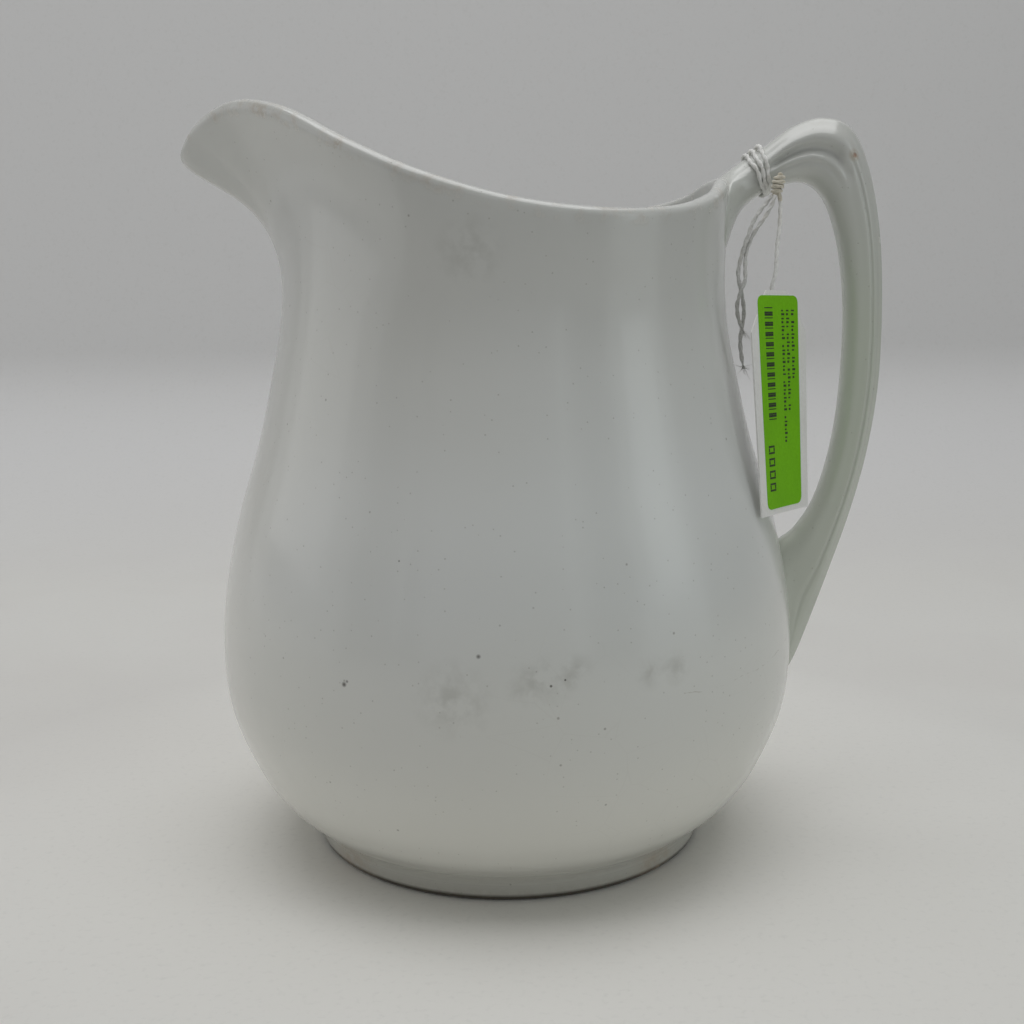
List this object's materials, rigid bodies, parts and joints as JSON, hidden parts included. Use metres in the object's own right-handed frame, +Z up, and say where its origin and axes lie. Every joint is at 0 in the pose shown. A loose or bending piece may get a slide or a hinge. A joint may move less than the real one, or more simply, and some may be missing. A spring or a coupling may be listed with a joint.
{
  "type": "ceramic water jug with tied tag",
  "caption": "Large pale glazed stoneware jug with a wide lip spout, an arched loop handle, a low foot ring and a blank price tag tied to the handle.",
  "frame": {"origin": "centre of the foot ring's bearing face, on the surface that the jug stands on", "axes": "+Z up, -X to the spout, +X to the handle, +Y across the jug"},
  "size_m": [0.2266, 0.1898, 0.2419],
  "materials": {
    "body_glaze": "glossy clear glaze over a greyish white body, fine specks",
    "foot_glaze": "glossy glaze, worn darker at the bearing edge",
    "string": "matte twisted cotton",
    "knot_string": "matte twisted cotton, slightly yellowed",
    "card": "matte card",
    "label": "matte fluorescent paper",
    "print": "matte ink"
  },
  "bodies": {
    "jug": {"jug_body": "body_glaze", "foot_ring": "foot_glaze", "handle": "body_glaze", "string_hitch": "string", "string_knot": "knot_string", "string_tail_long": "string", "string_tail_short": "string"},
    "strand": {"string_drop": "string"},
    "tag": {"tag_card": "card", "price_label": "label", "label_print": "print"}
  },
  "joints": [
    {"name": "strand_swing", "type": "hinge", "parent": "jug", "child": "strand", "pos_m": [0.0876, -0.0122, 0.2106], "axis": [-1, 0, 0], "range_deg": [0, 60]},
    {"name": "tag_turn", "type": "hinge", "parent": "strand", "child": "tag", "pos_m": [0.0855, -0.0195, 0.1794], "axis": [0, 0, 1], "range_deg": [0, 30]}
  ]
}
